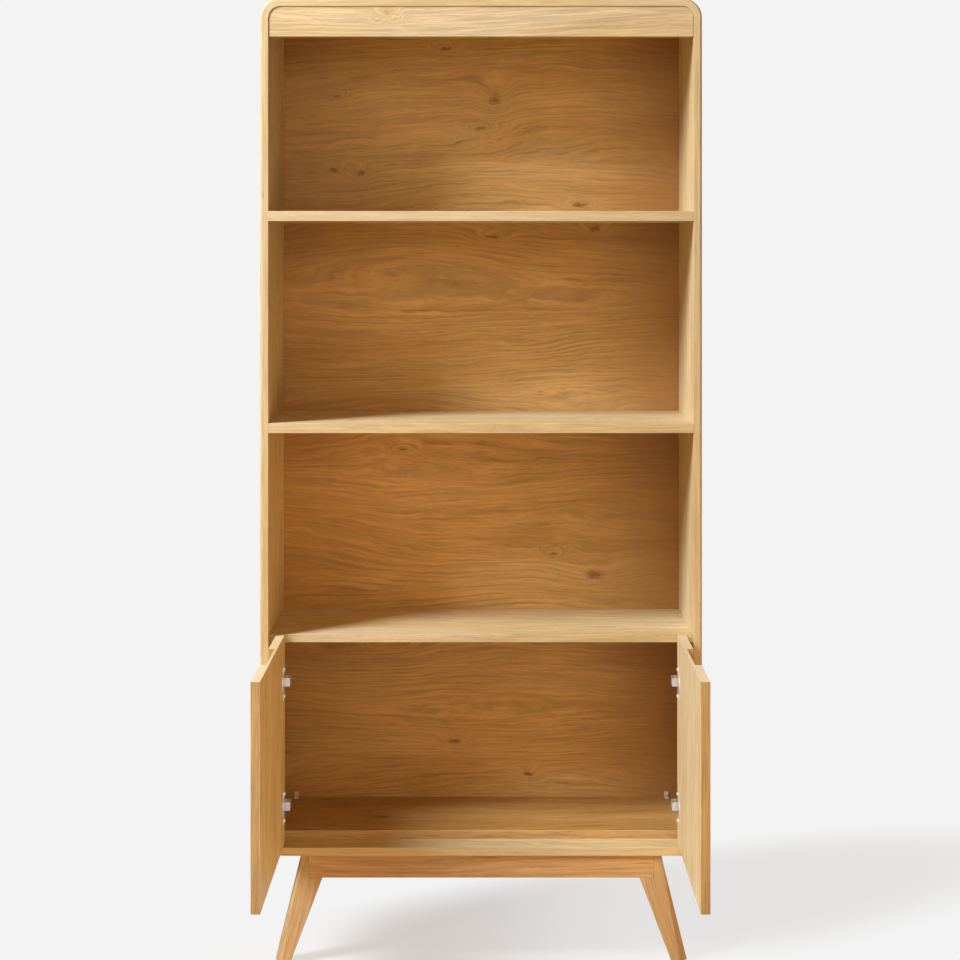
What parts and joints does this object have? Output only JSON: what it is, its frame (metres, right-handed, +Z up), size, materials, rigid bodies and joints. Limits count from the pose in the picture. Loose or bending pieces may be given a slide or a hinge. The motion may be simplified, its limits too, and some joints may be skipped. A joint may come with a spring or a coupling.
{
  "type": "bookcase",
  "caption": "Tall light-oak bookcase with open shelves, a rounded top, a low cupboard with hinged doors and splayed tapered legs.",
  "frame": {"origin": "on the floor, midway across the width and midway between the back of the case and the free edges of the doors as they stand open at a right angle", "axes": "+X to the right seen from the front, +Y from the front to the back, +Z up"},
  "size_m": [0.8, 0.6438, 1.75],
  "materials": {
    "oak_case": "oak veneer, satin lacquer",
    "oak_board": "oak veneer, satin lacquer",
    "oak_back": "oak veneer, satin lacquer",
    "oak_door": "oak veneer, satin lacquer",
    "oak_leg": "solid oak, satin lacquer",
    "beech_dowel": "bare beech",
    "nickel_hinge": "nickel plated",
    "steel_pin": "ground",
    "steel_screw": "zinc plated",
    "cast_cam": "bare die-cast zinc",
    "clip_plastic": "moulded",
    "glide_plastic": "moulded"
  },
  "bodies": {
    "carcass": {"left_side_panel": "oak_case", "right_side_panel": "oak_case", "top_panel": "oak_case", "left_top_corner": "oak_case", "right_top_corner": "oak_case", "top_fascia": "oak_case", "upper_shelf": "oak_board", "middle_shelf": "oak_board", "cupboard_top": "oak_board", "bottom_panel": "oak_board", "cupboard_floor_board": "oak_board", "upper_back": "oak_back", "middle_back": "oak_back", "lower_back": "oak_back", "cupboard_back": "oak_back", "front_left_leg": "oak_leg", "front_right_leg": "oak_leg", "rear_left_leg": "oak_leg", "rear_right_leg": "oak_leg", "front_apron": "oak_leg", "rear_apron": "oak_leg", "left_base_rail": "oak_leg", "right_base_rail": "oak_leg", "corner_dowels": "beech_dowel", "fascia_dowels": "beech_dowel", "rail_dowels": "beech_dowel", "left_hinge_arms": "nickel_hinge", "right_hinge_arms": "nickel_hinge", "left_mounting_plates": "nickel_hinge", "right_mounting_plates": "nickel_hinge", "plate_screws": "steel_screw", "clip_screws": "steel_screw", "base_screws": "steel_screw", "apron_screws": "steel_screw", "cam_bolts": "steel_screw", "cam_discs": "cast_cam", "back_corner_clips": "clip_plastic", "foot_glides": "glide_plastic"},
    "left_door_leaf": {"left_door": "oak_door", "left_hinge_cups": "nickel_hinge", "left_hinge_pins": "steel_pin", "left_cup_screws": "steel_screw"},
    "right_door_leaf": {"right_door": "oak_door", "right_hinge_cups": "nickel_hinge", "right_hinge_pins": "steel_pin", "right_cup_screws": "steel_screw"}
  },
  "joints": [
    {"name": "left_door_hinge", "type": "hinge", "parent": "carcass", "child": "left_door_leaf", "pos_m": [-0.3668, 0.0434, 0.4], "axis": [0, 0, -1], "range_deg": [-90, 15]},
    {"name": "right_door_hinge", "type": "hinge", "parent": "carcass", "child": "right_door_leaf", "pos_m": [0.3668, 0.0434, 0.4], "axis": [0, 0, 1], "range_deg": [-90, 15]}
  ]
}
